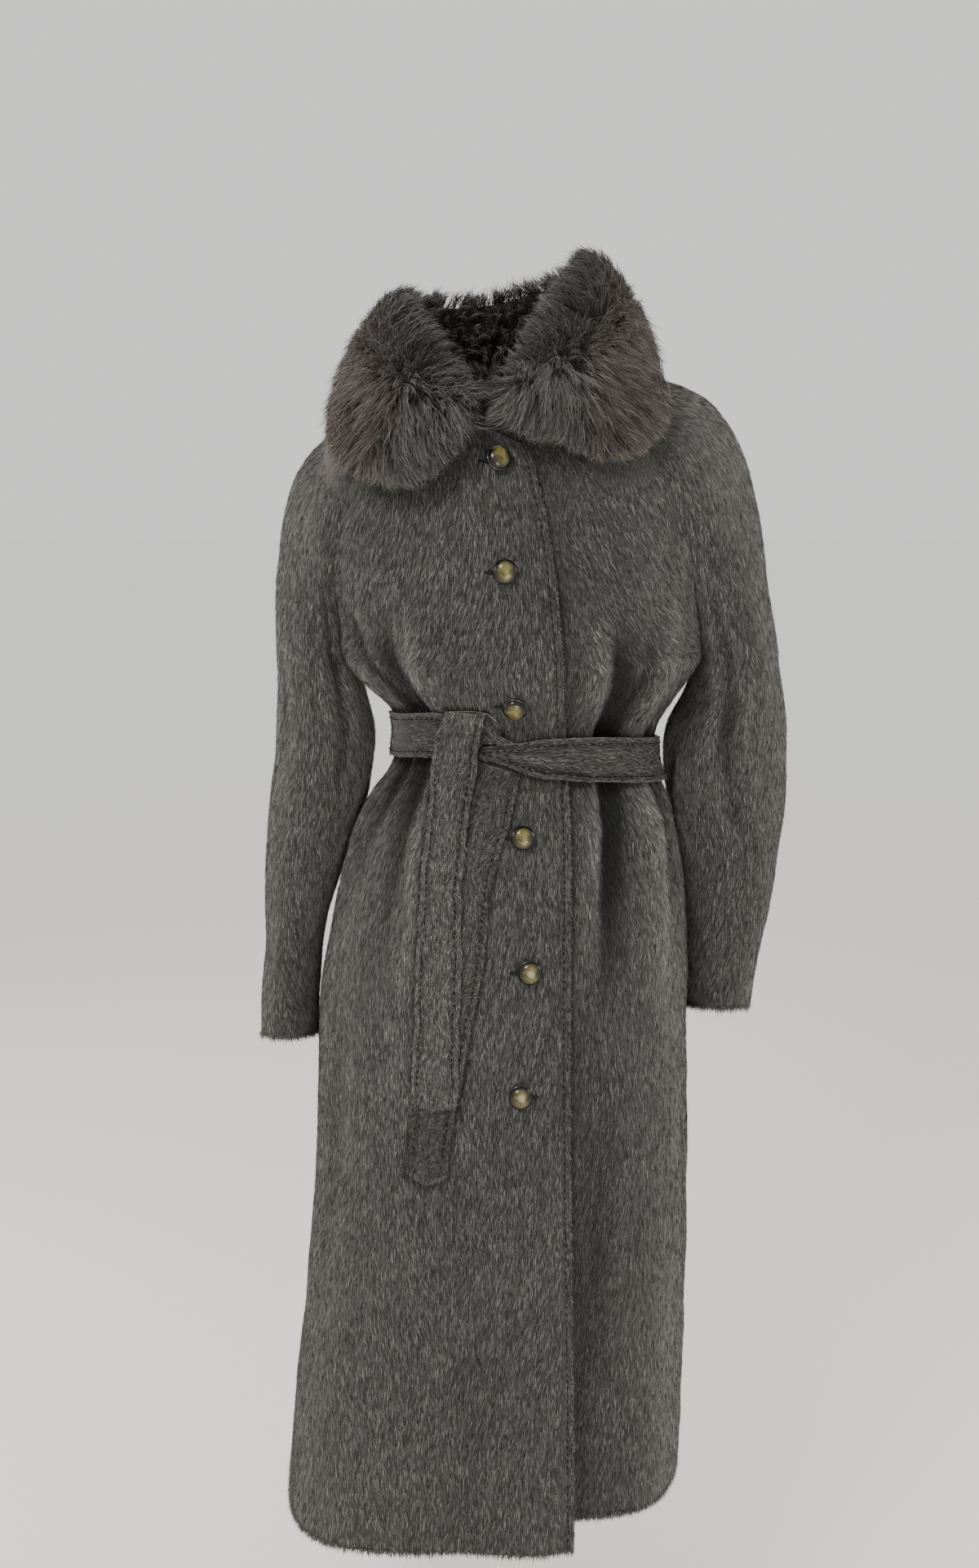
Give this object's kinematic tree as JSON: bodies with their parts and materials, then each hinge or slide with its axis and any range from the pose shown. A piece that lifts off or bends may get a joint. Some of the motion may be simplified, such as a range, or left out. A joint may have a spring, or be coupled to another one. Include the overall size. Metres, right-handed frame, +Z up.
{
  "type": "belted long coat",
  "caption": "Long coat of brushed alpaca cloth with raglan sleeves, a big fur collar, a buttoned overlapping front and a tied belt, hollow in its worn pose.",
  "frame": {"origin": "middle of the neck opening at the height of the shoulder points, where the wearer's shoulders carry the coat", "axes": "+Z up, front faces -Y, +X is the wearer's left"},
  "size_m": [0.5702, 0.3743, 1.3204],
  "materials": {
    "cloth": "brushed pile, matte",
    "belt": "brushed pile, matte",
    "fur": "long soft fur",
    "button": "glossy olive-gold with a dark rim"
  },
  "bodies": {
    "root": {"front_right": "cloth", "front_left": "cloth", "back": "cloth", "sleeve_right": "cloth", "sleeve_left": "cloth", "fur_collar": "fur", "belt_band": "belt", "belt_knot": "belt", "belt_tail_front": "belt", "belt_tail_back": "belt", "button_1": "button", "button_2": "button", "button_3": "button", "button_4": "button", "button_5": "button", "button_6": "button"}
  },
  "joints": []
}
